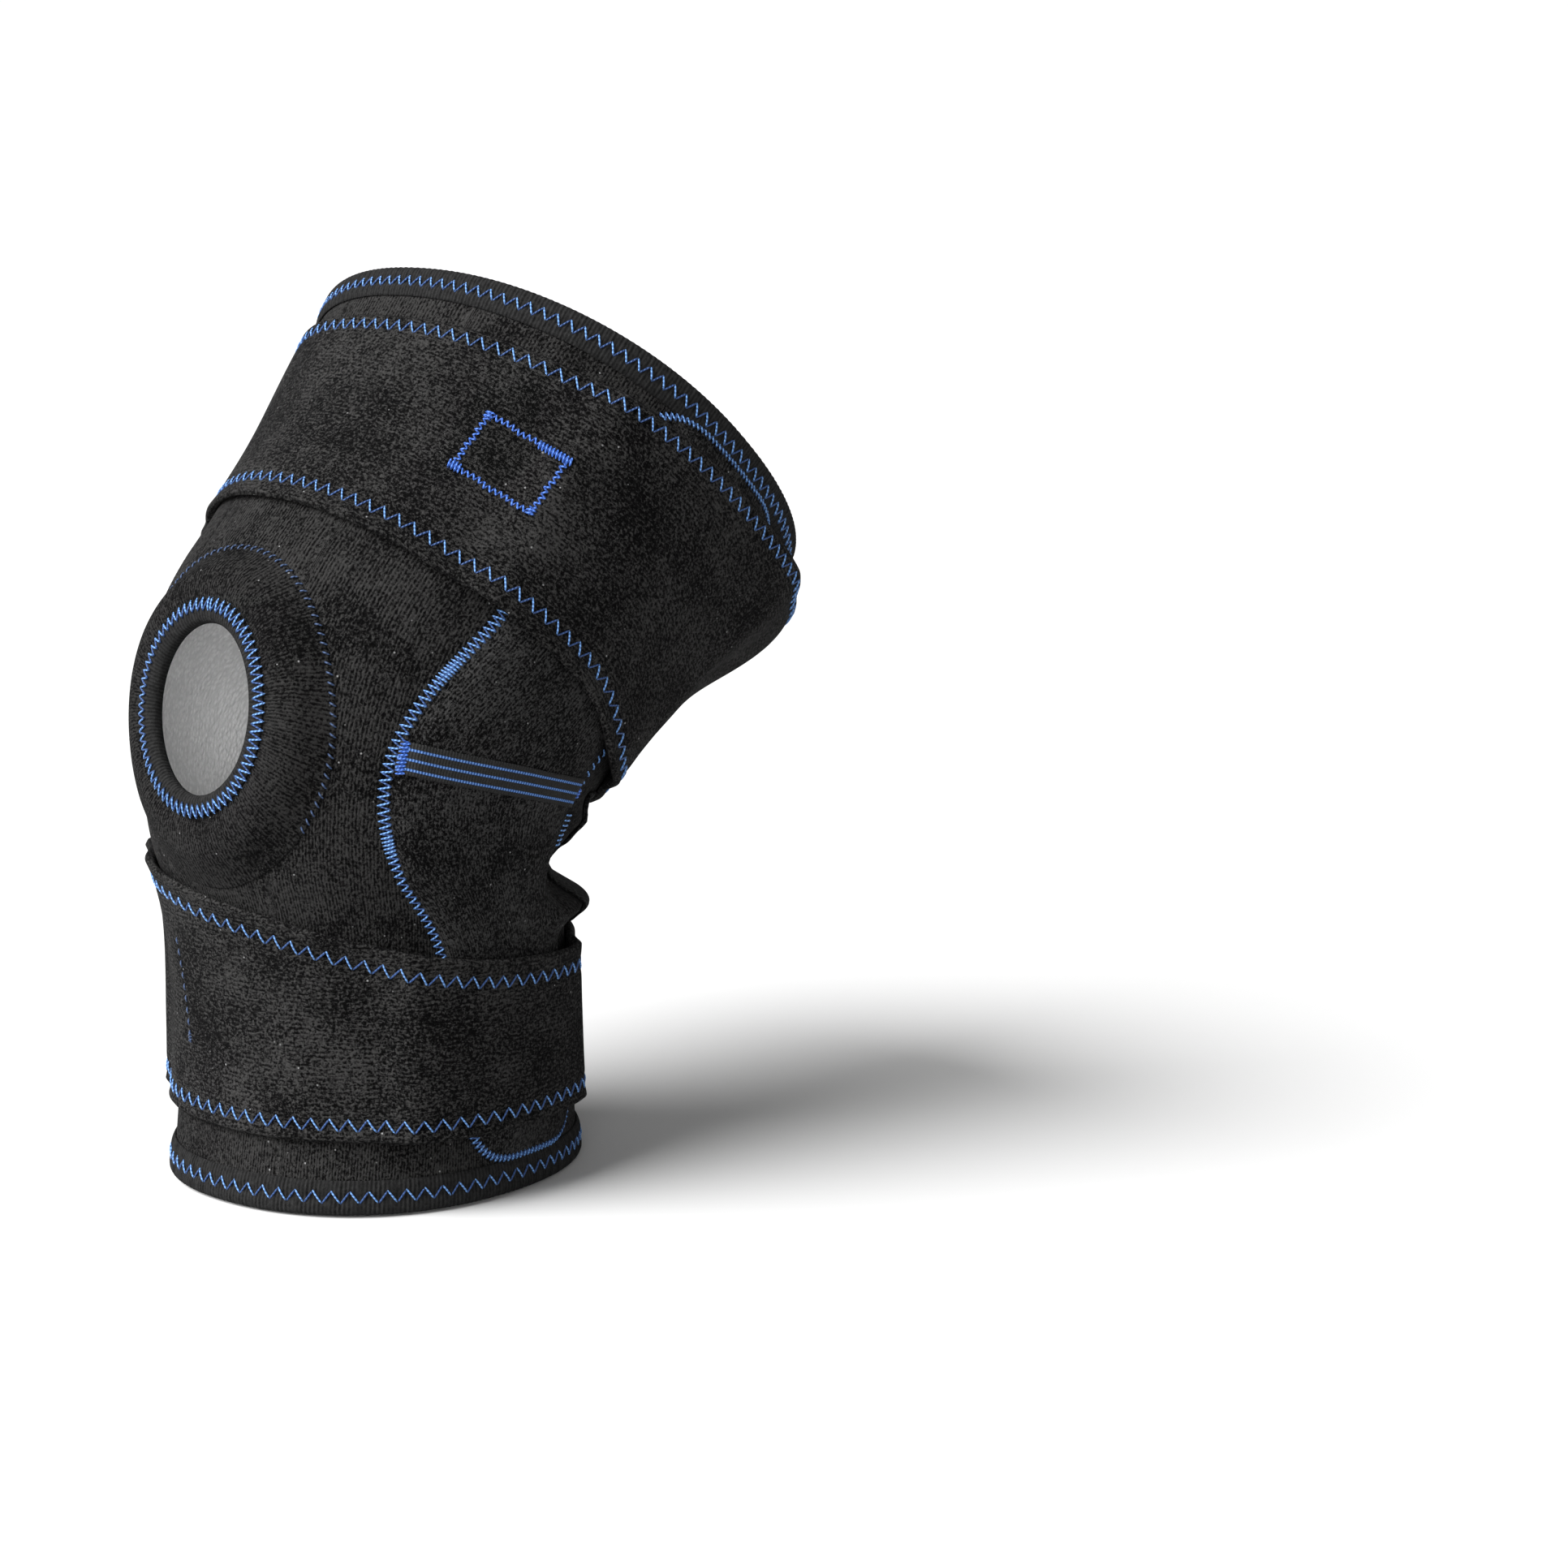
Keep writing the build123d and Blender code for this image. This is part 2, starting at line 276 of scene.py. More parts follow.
# ---- mesh making ----
def add_mesh(name, points, faces, corner_uv, paint):
    """A smooth-shaded mesh object from points in millimetres."""
    mesh = bpy.data.meshes.new(name)
    mesh.from_pydata((points * MM).tolist(), [], np.asarray(faces).tolist())
    mesh.uv_layers.new(name="Weave").data.foreach_set("uv", (corner_uv * MM).ravel())
    mesh.polygons.foreach_set("use_smooth", np.ones(len(mesh.polygons), bool))
    mesh.materials.append(paint)
    mesh.validate()
    piece = bpy.data.objects.new(name, mesh)
    bpy.context.scene.collection.objects.link(piece)
    return piece


def lengths(points, axis):
    """Length along a grid of points from its first row or column."""
    gaps = np.linalg.norm(np.diff(points, axis=axis), axis=-1)
    start = np.zeros_like(np.take(gaps, [0], axis))
    return np.concatenate((start, np.cumsum(gaps, axis)), axis)


def edge_distance(run, angle, wrap=False):
    """How far each point of a cloth lies from its nearest cut edge."""
    p = skin(run, angle)
    up = lengths(p, 0)
    distance = np.minimum(up, up[-1:] - up)
    if not wrap:
        along = lengths(p, 1)
        distance = np.minimum(distance, np.minimum(along, along[:, -1:] - along))
    return distance


def quads(rows, columns, wrap):
    """Corner rows and columns of a grid's quads; a wrapped grid's last column is its first again."""
    i, j = np.meshgrid(np.arange(rows - 1), np.arange(columns if wrap else columns - 1), indexing="ij")
    i, j = i.ravel(), j.ravel()
    return np.stack((i, i, i + 1, i + 1), 1), np.stack((j, j + 1, j + 1, j), 1)


def weave_uv(points, wrap):
    """Distances along and up the cloth, for the weave; one column more when it wraps."""
    if wrap:
        points = np.concatenate((points, points[:, :1]), 1)
    along = lengths(points, 1)
    middle = along[len(along) // 2]
    up = lengths(points, 0)
    return np.stack((np.broadcast_to(middle, up.shape), up), -1)


def shell(name, run, angle, inner, outer, paint, wrap=False, edge=1.2, keep=None):
    """A closed piece of cloth between two standoffs, its cut edges rounded.
    keep marks the grid's quads that stay."""
    rows, columns = run.shape
    middle, half = (outer + inner) / 2, (outer - inner) / 2
    near = np.clip(edge_distance(run, angle, wrap) / edge, 0, 1)
    swell = np.sqrt(1 - (1 - near) ** 2)
    top = skin(run, angle, middle + half * swell)
    bottom = skin(run, angle, middle - half * swell)
    ids = np.arange(rows * columns).reshape(rows, columns)
    under = ids + rows * columns
    i, j = quads(rows, columns, wrap)
    chosen = np.ones(len(i), bool) if keep is None else keep[i[:, 0], j[:, 0]]
    i, j = i[chosen], j[chosen]
    under[0], under[-1] = ids[0], ids[-1]
    if not wrap:
        under[:, 0], under[:, -1] = ids[:, 0], ids[:, -1]
    uv = weave_uv(skin(run, angle, middle), wrap)
    corners = uv[i, j]
    flip = angle[0, 1] < angle[0, 0]
    upper = ids[i, j % columns]
    lower = under[i, j % columns]
    if flip:
        upper, upper_uv, lower_uv = upper[:, ::-1], corners[:, ::-1], corners
    else:
        lower, upper_uv, lower_uv = lower[:, ::-1], corners, corners[:, ::-1]
    faces = np.concatenate((upper, lower))
    corner_uv = np.concatenate((upper_uv, lower_uv)).reshape(-1, 2)
    points = np.concatenate((top.reshape(-1, 3), bottom.reshape(-1, 3)))
    if keep is not None:
        faces, corner_uv = close_cuts(ids, under, i, j % columns, faces, corner_uv)
    used, faces = np.unique(faces, return_inverse=True)
    return add_mesh(name, points[used], faces.reshape(-1, 4), corner_uv, paint)


def close_cuts(ids, under, i, j, faces, corner_uv):
    """Adds the walls round the quads that were left out of a shell."""
    a = ids[i, j]
    b = np.roll(a, -1, 1)
    pairs = np.stack((a.ravel(), b.ravel()), 1)
    code = pairs.min(1) * ids.size + pairs.max(1)
    _, first, uses = np.unique(code, return_index=True, return_counts=True)
    rim = pairs[first[uses == 1]]
    flat = under.ravel()
    walls = np.stack((rim[:, 1], rim[:, 0], flat[rim[:, 0]], flat[rim[:, 1]]), 1)
    walls = walls[flat[rim[:, 0]] != rim[:, 0]]
    faces = np.concatenate((faces, walls))
    corner_uv = np.concatenate((corner_uv, np.zeros((len(walls) * 4, 2))))
    return faces, corner_uv


def smooth_profile(points, count):
    """A closed, rounded outline through a few (distance, standoff) points."""
    p = np.array(points, float)
    t = np.linspace(0, len(p), count, endpoint=False)
    i = t.astype(int)
    f = (t - i)[:, None]
    a, b, c, d = (p[(i + k) % len(p)] for k in (-1, 0, 1, 2))
    return 0.5 * (2 * b + (c - a) * f + (2 * a - 5 * b + 4 * c - d) * f**2 + (3 * b - a - 3 * c + d) * f**3)


def loop_piece(name, grid, paint, flip=False):
    """A ring whose closed section is carried round a closed path: grid is section by station."""
    closed = np.concatenate((grid, grid[:1]), 0)
    sections, stations = grid.shape[:2]
    i, j = quads(sections + 1, stations, True)
    faces = (i % sections) * stations + j % stations
    corners = weave_uv(closed, True)[i, j]
    if flip:
        faces, corners = faces[:, ::-1], corners[:, ::-1]
    return add_mesh(name, grid.reshape(-1, 3), faces, corners.reshape(-1, 2), paint)


# ---- thread ----
def tube(points, normals, radius, sides):
    """A round thread along points, its section turned by the normals, with closed ends."""
    tangent = np.gradient(points, axis=0)
    tangent /= np.linalg.norm(tangent, axis=1, keepdims=True) + 1e-9
    side = np.cross(normals, tangent)
    side /= np.linalg.norm(side, axis=1, keepdims=True) + 1e-9
    up = np.cross(tangent, side)
    turn = 2 * pi * np.arange(sides) / sides
    ring = np.cos(turn)[None, :, None] * side[:, None] + np.sin(turn)[None, :, None] * up[:, None]
    width = np.full((len(points), 1, 1), radius)
    width[0] = width[-1] = radius * 0.35
    grid = points[:, None] + ring * width
    i, j = quads(len(points), sides, True)
    faces = (i * sides + j % sides)[:, ::-1]
    return grid.reshape(-1, 3), faces


def thread_piece(name, runs, paint, radius=THREAD_RADIUS):
    """One mesh of many lengths of thread; each is (points, normals, shade).  The shade, 1 for the
    legs of a stitch that lie deeper, marks them for painted shade and is kept as a step of a metre in the
    weave's first direction."""
    sides = 6
    points, faces, uv, start = [], [], [], 0
    for path, normals, shade in runs:
        p, f = tube(path, normals, radius, sides)
        points.append(p)
        faces.append(f + start)
        start += len(p)
        v = np.repeat(lengths(path[None], 1)[0], sides)
        u = np.tile(np.arange(sides) * radius, len(path)) + np.repeat(shade / MM, sides)
        uv.append(np.stack((u, v), 1)[f].reshape(-1, 2))
    points, faces, uv = (np.concatenate(parts) for parts in (points, faces, uv))
    return add_mesh(name, points, faces, uv, paint)


def stations(run, angle, top, pitch):
    """Places along a seam, one for each half stitch; pitch is a number or a function of run."""
    p = skin(run, angle, top(run, angle))
    gaps = np.linalg.norm(np.diff(p, axis=0), axis=1)
    middle = (run[1:] + run[:-1]) / 2
    size = pitch(middle) if callable(pitch) else np.full(len(gaps), float(pitch))
    count = np.concatenate(([0], np.cumsum(2 * gaps / size)))
    at = np.linspace(0, count[-1], max(3, int(round(count[-1])) + 1))
    return np.interp(at, count, run), np.interp(at, count, angle)


def zigzag(run, angle, top, width, pitch, arch=0.45, sink=(0.1, 0.1), closed=False):
    """Zigzag stitches over a seam: the thread goes down at each corner and arches between them,
    every other leg lower.  sink is how far above the cloth it stands at its corners on the two
    sides of the seam; width is a number or a function of run."""
    run, angle = stations(run, angle, top, pitch)
    p, n = lay(run, angle, top)
    half = (width(run)[:, None] if callable(width) else width) / 2
    tangent = np.gradient(p, axis=0)
    if closed:
        tangent[0] = tangent[-1] = p[1] - p[-2]
    side = np.cross(n, tangent)
    side /= np.linalg.norm(side, axis=1, keepdims=True)
    sign = np.where(np.arange(len(p)) % 2 == 0, 1.0, -1.0)[:, None]
    height = np.where(sign > 0, sink[1], sink[0])
    corner = p + side * sign * half + n * height
    share = np.array((0, 0.14, 0.34, 0.5, 0.66, 0.86))[None, :, None]
    low_leg = (sign[:-1] < 0)[:, None]
    lift = np.where(low_leg, 0.45, 1.0) * arch * np.sin(pi * share) ** 0.6
    line = corner[:-1, None] * (1 - share) + corner[1:, None] * share
    line = line + (n[:-1, None] * (1 - share) + n[1:, None] * share) * lift
    normals = np.repeat(n[:-1], share.size, 0)
    # shade marks the lower legs, which the thread material darkens as painted shade.
    shade = np.append(np.repeat(low_leg.ravel(), share.size), False)
    return np.concatenate((line.reshape(-1, 3), corner[-1:])), np.concatenate((normals, n[-1:])), shade


def dashes(run, angle, top, pitch, along, across, arch=0.35, sink=-0.3):
    """Separate straight stitches on a seam, each reaching so far along and across it."""
    run, angle = stations(run, angle, top, pitch * 2)
    p, n = lay(run, angle, top)
    forward = np.gradient(p, axis=0)
    forward /= np.linalg.norm(forward, axis=1, keepdims=True)
    reach = forward * along + np.cross(n, forward) * across
    share = np.linspace(-0.5, 0.5, 6)[:, None]
    lift = sink + (arch - sink) * np.cos(pi * share) ** 0.7
    return [
        (middle + way * share + up * lift, np.repeat(up[None], share.size, 0), np.zeros(share.size))
        for middle, way, up in zip(p, reach, n)
    ]


def level(off):
    return lambda run, angle: off + 0 * run + 0 * angle


# ---- materials ----
class Paint:
    """A node material in the making; each method adds a node and returns its output socket."""

    def __init__(self, name, rough=0.9, shine=0.5):
        self.material = bpy.data.materials.new(name)
        self.material.use_nodes = True
        self.tree = self.material.node_tree
        self.shader = self.tree.nodes["Principled BSDF"]
        self.shader.inputs["Roughness"].default_value = rough
        self.shader.inputs["Specular IOR Level"].default_value = shine

    def node(self, kind, **settings):
        made = self.tree.nodes.new(kind)
        for key, value in settings.items():
            setattr(made, key, value)
        return made

    def plug(self, value, socket):
        if isinstance(value, bpy.types.NodeSocket):
            self.tree.links.new(value, socket)
        else:
            socket.default_value = value

    def weave(self):
        return self.node("ShaderNodeUVMap", uv_map="Weave").outputs["UV"]

    def place(self):
        return self.node("ShaderNodeTexCoord").outputs["Object"]

    def part(self, vector, axis):
        made = self.node("ShaderNodeSeparateXYZ")
        self.plug(vector, made.inputs[0])
        return made.outputs[axis]

    def math(self, operation, a, b=0.0, clamp=False):
        made = self.node("ShaderNodeMath", operation=operation, use_clamp=clamp)
        self.plug(a, made.inputs[0])
        self.plug(b, made.inputs[1])
        return made.outputs[0]

    def stretch(self, vector, scale):
        made = self.node("ShaderNodeVectorMath", operation="MULTIPLY")
        self.plug(vector, made.inputs[0])
        made.inputs[1].default_value = scale
        return made.outputs[0]

    def noise(self, vector, scale, detail=2.0, rough=0.5):
        made = self.node("ShaderNodeTexNoise")
        self.plug(vector, made.inputs["Vector"])
        made.inputs["Scale"].default_value = scale
        made.inputs["Detail"].default_value = detail
        made.inputs["Roughness"].default_value = rough
        return made.outputs["Fac"]

    def cells(self, vector, scale):
        made = self.node("ShaderNodeTexVoronoi")
        self.plug(vector, made.inputs["Vector"])
        made.inputs["Scale"].default_value = scale
        return made.outputs["Distance"]

    def span(self, value, low, high, to_low=0.0, to_high=1.0):
        made = self.node("ShaderNodeMapRange")
        self.plug(value, made.inputs["Value"])
        for key, number in zip(("From Min", "From Max", "To Min", "To Max"), (low, high, to_low, to_high)):
            made.inputs[key].default_value = number
        return made.outputs["Result"]

    def wave(self, distance, pitch):
        """A soft wave from 0 to 1 along a distance in metres."""
        turns = self.math("MULTIPLY", distance, 2 * pi / pitch)
        return self.math("MULTIPLY", self.math("ADD", self.math("SINE", turns), 1.0), 0.5)

    def mix(self, share, a, b):
        made = self.node("ShaderNodeMix", data_type="RGBA")
        self.plug(share, made.inputs["Factor"])
        self.plug(a, made.inputs[6])
        self.plug(b, made.inputs[7])
        return made.outputs[2]

    def colour(self, value):
        self.plug(value, self.shader.inputs["Base Color"])

    def roughness(self, value):
        self.plug(value, self.shader.inputs["Roughness"])

    def relief(self, height, depth, strength=1.0):
        made = self.node("ShaderNodeBump")
        self.plug(height, made.inputs["Height"])
        made.inputs["Distance"].default_value = depth
        made.inputs["Strength"].default_value = strength
        self.plug(made.outputs["Normal"], self.shader.inputs["Normal"])

    def sheen(self, weight, tint=(1, 1, 1, 1), rough=0.4):
        self.shader.inputs["Sheen Weight"].default_value = weight
        self.shader.inputs["Sheen Tint"].default_value = tint
        self.shader.inputs["Sheen Roughness"].default_value = rough


def grey(value, warm=0.0):
    return (value * (1 + warm), value, value * (1 - warm), 1)


def knit(name, dark, light, wale=0.0011, wales=0.5, across=False, warm=0.02):
    """Black knit-faced cloth: wales, a brushed pile of fine specks, pits with painted shade in them, and
    stray white lint.
    """
    p = Paint(name, 0.95, 0.03)
    uv = p.weave()
    drift = p.noise(p.stretch(uv, (1, 0.25, 1)), 260, 2)
    crosswise = p.math("ADD", p.part(uv, 1 if across else 0), p.math("MULTIPLY", drift, 0.0012))
    ribs = p.wave(crosswise, wale)
    loops = p.noise(p.stretch(uv, (0.4, 1, 1) if across else (1, 0.4, 1)), 1500, 3, 0.7)
    pile = p.noise(p.place(), 1150, 3, 0.75)
    cloud = p.noise(p.place(), 45, 3, 0.6)
    tufts = p.math("ADD", p.span(pile, 0.4, 0.6, 0, 0.6), p.span(loops, 0.4, 0.6, 0, 0.4))
    patchy = p.span(cloud, 0.35, 0.65, 0.4, 1.0)
    ribbed = p.math("MULTIPLY", p.math("MULTIPLY", ribs, wales), patchy)
    tone = p.math("ADD", p.math("MULTIPLY", tufts, 0.8), p.math("MULTIPLY", ribbed, 0.4))
    tone = p.math("ADD", tone, p.span(cloud, 0.3, 0.7, -0.2, 0.04))
    tone = p.span(tone, 0.24, 0.66)
    sparse = p.span(p.noise(p.place(), 70, 2), 0.46, 0.54, 1.0, 0.0)
    # Pits are dips in the bump and also darken the colour: painted shade in the pits.
    pits = p.math("MAXIMUM", p.span(p.cells(p.place(), 330), 0.1, 0.3, 0.15, 1.0), sparse)
    base = p.mix(p.math("MULTIPLY", tone, pits), grey(dark, warm), grey(light, warm))
    dots = p.span(p.cells(p.place(), 200), 0.07, 0.045)
    lint = p.math("MULTIPLY", dots, p.span(p.noise(p.place(), 40), 0.46, 0.52))
    p.colour(p.mix(p.math("MULTIPLY", lint, 0.8), base, grey(0.22)))
    height = p.math("ADD", p.math("MULTIPLY", tufts, 0.9), p.math("MULTIPLY", ribbed, 0.7))
    p.relief(p.math("MULTIPLY", height, pits), 0.0005)
    p.sheen(0.01, (0.9, 0.9, 0.95, 1), 0.5)
    return p.material


def tape(name, value, rib):
    """Folded edge tape with fine ribs across its length."""
    p = Paint(name, 0.9, 0.03)
    uv = p.weave()
    ribs = p.wave(p.part(uv, 0), rib)
    pile = p.noise(p.place(), 700, 5, 0.75)
    tone = p.math("ADD", p.math("MULTIPLY", ribs, 0.4), p.span(pile, 0.35, 0.68, 0, 0.6))
    p.colour(p.mix(tone, grey(value * 0.3), grey(value * 1.9)))
    p.relief(tone, 0.0005)
    p.sheen(0.01, (0.9, 0.9, 0.95, 1), 0.5)
    return p.material


def terry(name):
    """Pale looped lining."""
    p = Paint(name, 0.95)
    loops = p.cells(p.stretch(p.weave(), (1, 0.7, 1)), 900)
    p.colour(p.mix(p.span(loops, 0.1, 0.6), grey(0.92), grey(0.74)))
    p.relief(p.math("SUBTRACT", 1.0, loops), 0.0005)
    p.sheen(0.3)
    return p.material


def thread(name, shaded, lit, twist=0.0011):
    """Two-ply polyester thread, with a painted highlight along the tops of its plies and painted shade on
    the lower legs of each stitch.
    """
    p = Paint(name, 0.5, 0.25)
    uv = p.weave()
    around = p.part(uv, 0)
    # Painted shade: legs marked in the weave's first direction as lying lower get a darker colour.
    deeper = p.span(around, 0.5, 0.51, 1.0, 0.16)
    ply = p.wave(p.math("ADD", p.part(uv, 1), p.math("MULTIPLY", p.math("FRACT", around), 0.8)), twist)
    fibres = p.noise(p.place(), 2600, 2)
    tone = p.math("ADD", p.math("MULTIPLY", ply, 0.5), p.math("MULTIPLY", fibres, 0.6))
    # The colour runs from the shaded to the lit blue: painted highlight on the ply tops, random fibre tone
    # and the painted leg shade.
    p.colour(p.mix(p.math("MULTIPLY", p.span(tone, 0.05, 0.75), deeper), shaded, lit))
    p.relief(ply, 0.0002)
    p.sheen(0.04, (0.6, 0.75, 1, 1), 0.35)
    return p.material


def webbing(name):
    """Flat black webbing with three fine blue stripes along it and ribs across it."""
    p = Paint(name, 0.8, 0.05)
    uv = p.weave()
    across = p.part(uv, 1)
    stripes = None
    for middle in WEBBING_STRIPES:
        from_middle = p.math("ABSOLUTE", p.math("SUBTRACT", across, middle))
        stripe = p.span(from_middle, 0.00045, 0.0003)
        stripes = stripe if stripes is None else p.math("MAXIMUM", stripes, stripe)
    ribs = p.wave(p.part(uv, 0), 0.0009)
    grain = p.noise(p.place(), 2000, 3, 0.6)
    black = p.mix(grain, grey(0.003), grey(0.026))
    blue = p.mix(p.math("MULTIPLY", ribs, grain), (0.01, 0.035, 0.13, 1), (0.17, 0.31, 0.6, 1))
    p.colour(p.mix(stripes, black, blue))
    p.relief(p.math("ADD", p.math("MULTIPLY", ribs, 0.6), p.math("MULTIPLY", stripes, 0.8)), 0.0003)
    return p.material


def moulded(name, value, grain=0.0002):
    p = Paint(name, 0.45)
    fine = p.noise(p.place(), 900, 3, 0.6)
    p.colour(p.mix(fine, grey(value * 0.7), grey(value * 1.3)))
    p.roughness(p.span(fine, 0.3, 0.7, 0.4, 0.6))
    p.relief(fine, grain)
    return p.material


def gel(name):
    p = Paint(name, 0.3)
    fine = p.noise(p.place(), 300, 2)
    p.colour(p.mix(fine, (0.16, 0.18, 0.23, 1), (0.24, 0.26, 0.32, 1)))
    p.roughness(p.span(fine, 0.3, 0.7, 0.25, 0.4))
    p.relief(fine, 0.0002)
    return p.material


def spring_wire(name):
    p = Paint(name, 0.3)
    p.shader.inputs["Metallic"].default_value = 1.0
    drawn = p.noise(p.stretch(p.weave(), (6, 0.4, 1)), 1500, 2)
    p.colour(p.mix(drawn, grey(0.45), grey(0.7)))
    p.roughness(p.span(drawn, 0.3, 0.7, 0.2, 0.42))
    p.relief(drawn, 0.00005)
    return p.material


KNIT = knit("sleeve knit", 0.0005, 0.024, wales=1.0)
PAD_KNIT = knit("pad knit", 0.0005, 0.019, wales=1.0)
LOOP = knit("strap loop cloth", 0.0005, 0.029, wale=0.0013, wales=0.4, across=True)
PANEL = knit("panel cloth", 0.0007, 0.032, wales=0.6, warm=0.01)
CREASE = knit("crease knit", 0.0007, 0.025, wales=0.6, warm=0.0)
HEM = tape("edge tape", 0.011, 0.0011)
LINING = terry("terry lining")
# Each thread is given a shaded and a lit blue, the two ends of its painted shade and painted highlight.
BLUE = thread("blue thread", (0.005, 0.02, 0.09, 1), (0.11, 0.24, 0.5, 1))
# A darker copy of the blue thread, used for the faint pad and calf strap stitches.
DARKER_BLUE = thread("darker blue thread", (0.004, 0.009, 0.028, 1), (0.03, 0.055, 0.12, 1))
DENSE_BLUE = thread("bar tack thread", (0.008, 0.035, 0.17, 1), (0.05, 0.14, 0.5, 1))
WEBBING = webbing("striped webbing")
PLASTIC = moulded("stay tip plastic", 0.05)
HOOKS = moulded("hook tape plastic", 0.025)
GEL = gel("silicone gel")
STEEL = spring_wire("spring wire")


def declare_cloth(run, angle):
    """Works out the width and length that a cut piece of cloth's pattern has along its rows and columns;
    nothing is done with them.
    """
    points = skin(run, angle)
    width = float(lengths(points, 0)[-1].mean()) * MM
    length = float(lengths(points, 1)[:, -1].mean()) * MM


def keep_piece(piece, body=None, over=(), blended=False):
    """Hides the frame nodes that a piece stands for, then bakes the piece's transform or attaches it to its
    body.
    """
    if over:
        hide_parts(*over)
    if blended:
        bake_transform(piece)
    else:
        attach(piece, body)


# ---- sleeve ----
def sleeve():
    runs = np.linspace(HEM_FOLD + GAP, LENGTH - HEM_FOLD - GAP, 160)
    angles = np.linspace(-180, 180, 264, endpoint=False)
    run, angle = np.meshgrid(runs, angles, indexing="ij")
    edge = HOLE + HOLE_CUT
    x, h = front_view(run, angle)
    ratio = np.hypot(x / edge[0], h / edge[1])
    ratio[turn_of(angle) > 80] = 9
    inside = ratio < 1
    corners = [np.roll(np.roll(inside, -a, 0), -b, 1) for a in (0, 1) for b in (0, 1)]
    gone = corners[0] | corners[1] | corners[2] | corners[3]
    touched = np.zeros_like(gone)
    for a in (0, 1):
        for b in (0, 1):
            touched |= np.roll(np.roll(gone, a, 0), b, 1)
    rim = touched & ~inside
    run[rim], angle[rim] = front_point(x[rim] / ratio[rim], h[rim] / ratio[rim])
    folds = crease(run, angle)
    x, h = front_view(run, angle)
    from_hole = np.where(turn_of(angle) > 80, 9, np.hypot(x / edge[0], h / edge[1]))
    pressed = 3.0 * (1 - step((from_hole - 1) / 0.45))
    outer = folds
    seam = folds - SLEEVE_THICK + LINING_THICK + pressed * 0.55
    outside = shell("sleeve_knit", run, angle, seam, outer, KNIT, wrap=True, edge=0.8, keep=~gone)
    inner = folds - SLEEVE_THICK + pressed
    lining = shell("sleeve_lining", run, angle, inner, seam - 0.05, LINING, wrap=True, edge=0.6, keep=~gone)
    keep_piece(outside, over=("calf_sleeve", "knee_sleeve", "thigh_sleeve"), blended=True)
    keep_piece(lining, blended=True)


HEM_PROFILE = (
    (10.2, 0.25), (9.4, 0.9), (7.4, 1.35), (5.6, 0.95), (3.8, 1.45), (1.6, 1.4), (0.25, 0.3),
    (0.0, -2.0), (0.3, -4.6), (1.8, -5.6), (5.5, -5.3), (9.4, -5.5), (10.0, -4.7),
    (6.0, -4.35), (1.5, -4.3), (1.3, -2.0), (1.5, 0.15), (6.0, 0.15),
)


def hem(name, node, rim, direction):
    """Folded edge tape round a rim, with fine ribs and a puckered stitch line."""
    profile = smooth_profile(HEM_PROFILE, 44)
    count = 960
    angles = np.linspace(-180, 180, count, endpoint=False)
    distance, off = (profile[:, k][:, None] for k in (0, 1))
    ribs = 0.13 * np.sin(np.arange(count) * 2 * pi * 240 / count)[None]
    outside = step((off + 2.5) / 2)
    off = off + ribs * outside
    grid = skin(rim + direction * distance + 0 * angles[None], angles[None] + 0 * distance, off)
    piece = loop_piece(name, grid, HEM, flip=direction > 0)
    keep_piece(piece, over=(node,), blended=True)


def rim_threads():
    angles = np.linspace(-180, 180, 361)
    for end, seam in (("calf", RIM_SEAM), ("thigh", LENGTH - RIM_SEAM)):
        run = seam + 0 * angles
        line = zigzag(run, angles, level(1.05), EDGE_STITCH_WIDTH, RIM_PITCHES[end], closed=True)
        keep_piece(thread_piece(f"{end}_rim_stitch", [line], BLUE), blended=True)


# ---- kneecap pad ----
def ellipse_ring(half_sizes, turns):
    """Run and angle round an ellipse of these half sizes, seen from the front."""
    across = half_sizes[..., 0, None] * np.sin(np.radians(turns))
    up = half_sizes[..., 1, None] * np.cos(np.radians(turns))
    return front_point(across, up)


def pad_top(share):
    """Standoff of the pad's cover from its hole (0) to its sewn edge (1)."""
    return 1.6 + 2.8 * step(share / 0.4) - 4.0 * step((share - 0.5) / 0.52)


def kneecap_pad():
    turns = np.linspace(0, 360, 200, endpoint=False)
    share = np.concatenate((np.linspace(0, 0.92, 26), (0.945, 0.965, 0.98, 0.99, 1.0)))
    sizes = (HOLE + HOLE_CUT)[None] * (1 - share[:, None]) + PAD[None] * share[:, None]
    run, angle = ellipse_ring(sizes, turns)
    top = pad_top(share)[:, None] + 0 * run
    under = np.maximum(top - 1.2, 0.12)
    cover = shell("kneecap_pad_cover", run, angle, under, top, PAD_KNIT, wrap=True, edge=0.7)
    keep_piece(cover, over=("patella_cover",), blended=True)
    share = np.linspace(0, 1, 16)
    sizes = (HOLE + 4)[None] * (1 - share[:, None]) + (PAD - 6)[None] * share[:, None]
    run, angle = ellipse_ring(sizes, turns)
    ring_top = pad_top(0.095 + 0.625 * share)[:, None] - 1.3
    ring = shell("kneecap_gel_ring", run, angle, GAP + 0 * run, ring_top + 0 * run, GEL, wrap=True, edge=0.9)
    keep_piece(ring, over=("patella_gel_ring",), blended=True)


LIP_PROFILE = (
    (5.2, 2.8), (4.8, 3.4), (3.2, 3.3), (1.3, 2.7), (0.15, 1.5), (0.0, 0.4), (0.3, -0.8),
    (1.5, -1.75), (4.4, -2.5), (4.9, -2.2), (3.2, -1.5), (1.6, -1.15), (1.35, 0.0), (1.5, 1.2),
    (3.2, 2.1),
)


def kneecap_lip():
    profile = smooth_profile(LIP_PROFILE, 44)
    turns = np.linspace(0, 360, 300, endpoint=False)
    sizes = HOLE[None] + profile[:, :1]
    run, angle = ellipse_ring(sizes, turns)
    grid = skin(run, angle, profile[:, 1][:, None])
    lip = loop_piece("kneecap_lip", grid, HEM)
    keep_piece(lip, over=("patella_binding",), blended=True)


